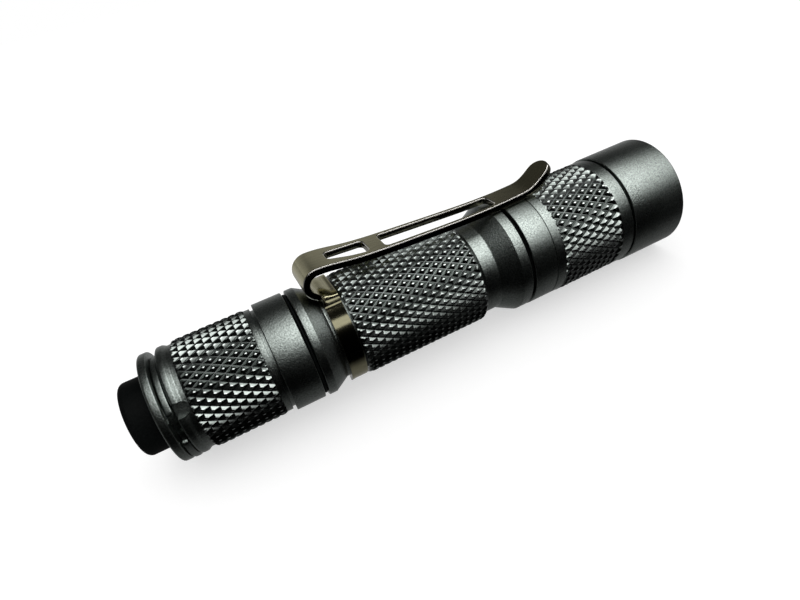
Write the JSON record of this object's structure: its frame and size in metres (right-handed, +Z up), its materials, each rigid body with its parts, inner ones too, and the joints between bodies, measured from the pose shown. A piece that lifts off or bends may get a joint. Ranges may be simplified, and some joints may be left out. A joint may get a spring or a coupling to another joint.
{
  "type": "keychain flashlight",
  "caption": "Slim knurled pocket flashlight with a rubber tail button, a spring-steel pocket clip, a lanyard groove and notch, and a smooth front bezel.",
  "frame": {"origin": "centre of the bounding box at the surface the bezel rests on", "axes": "+X along the light from the rubber button towards the lens, +Z straight up through the pocket clip's arm"},
  "size_m": [0.0746, 0.0154, 0.0186],
  "materials": {
    "anodised": "bead-blasted grey anodised",
    "rubber": "matt black",
    "clip_steel": "polished spring steel with a warm tint",
    "white_plastic": "moulded",
    "black_plastic": "moulded",
    "spring_wire": "plated wire",
    "board": "solder mask",
    "led_board": "white solder mask on metal",
    "brass": "turned",
    "cell_steel": "nickel plated",
    "cell_core": "compressed powder",
    "cell_wrap": "plain shrink film",
    "glass": "coated",
    "mirror": "vacuum metallised",
    "led_ceramic": "ceramic",
    "led_dome": "clear silicone over yellow phosphor"
  },
  "bodies": {
    "tube": {"battery_tube": "anodised"},
    "cell": {"cell_can": "cell_steel", "cell_core": "cell_core", "cell_wrap": "cell_wrap", "cell_seal": "black_plastic", "cell_cap": "cell_steel"},
    "clip": {"pocket_clip": "clip_steel"},
    "rear_seal": {"rear_o_ring": "rubber"},
    "tail": {"tail_cap": "anodised", "switch_housing": "black_plastic", "switch_spring": "spring_wire", "switch_board": "board", "switch_retaining_ring": "brass", "tail_spring": "spring_wire"},
    "lanyard": {"lanyard_ring": "anodised"},
    "button": {"rubber_boot": "rubber", "switch_plunger": "white_plastic"},
    "front_seal": {"front_o_ring": "rubber"},
    "head": {"head_shell": "anodised", "bezel": "anodised", "lens_gasket": "rubber", "lens": "glass", "reflector": "mirror", "led_centring_ring": "white_plastic", "led_base": "led_ceramic", "led_dome": "led_dome", "led_board": "led_board", "light_engine_pill": "brass", "driver_board": "board", "driver_retaining_ring": "brass", "driver_contact": "brass"}
  },
  "joints": [
    {"name": "tail_cap_travel", "type": "slide", "parent": "tube", "child": "rear_seal", "axis": [-1, 0, 0], "range_m": [0, 0.0045]},
    {"name": "tail_cap_turn", "type": "hinge", "parent": "rear_seal", "child": "tail", "pos_m": [-0.0251, 0, 0.0077], "axis": [-1, 0, 0], "range_deg": [0, 2160]},
    {"name": "button_press", "type": "slide", "parent": "tail", "child": "button", "axis": [1, 0, 0], "range_m": [0, 0.0009], "stiffness_N_per_m": 2500, "springref_m": -0.0007},
    {"name": "lanyard_ring_turn", "type": "hinge", "parent": "tail", "child": "lanyard", "pos_m": [-0.03236, 0, 0.0072], "axis": [1, 0, 0], "continuous": true},
    {"name": "cell_slide", "type": "slide", "parent": "tube", "child": "cell", "axis": [-1, 0, 0], "range_m": [0, 0.0046]},
    {"name": "clip_turn", "type": "hinge", "parent": "tube", "child": "clip", "pos_m": [-0.01155, 0, 0.0077], "axis": [1, 0, 0], "continuous": true},
    {"name": "head_travel", "type": "slide", "parent": "tube", "child": "front_seal", "axis": [1, 0, 0], "range_m": [0, 0.006]},
    {"name": "head_turn", "type": "hinge", "parent": "front_seal", "child": "head", "pos_m": [0.0251, 0, 0.0077], "axis": [1, 0, 0], "range_deg": [0, 2880]}
  ],
  "couplings": [
    {"joint": "tail_cap_turn", "follows": "tail_cap_travel", "rad_per_m": 8377.6},
    {"joint": "cell_slide", "follows": "tail_cap_travel", "ratio": 1},
    {"joint": "head_turn", "follows": "head_travel", "rad_per_m": 8377.6}
  ]
}
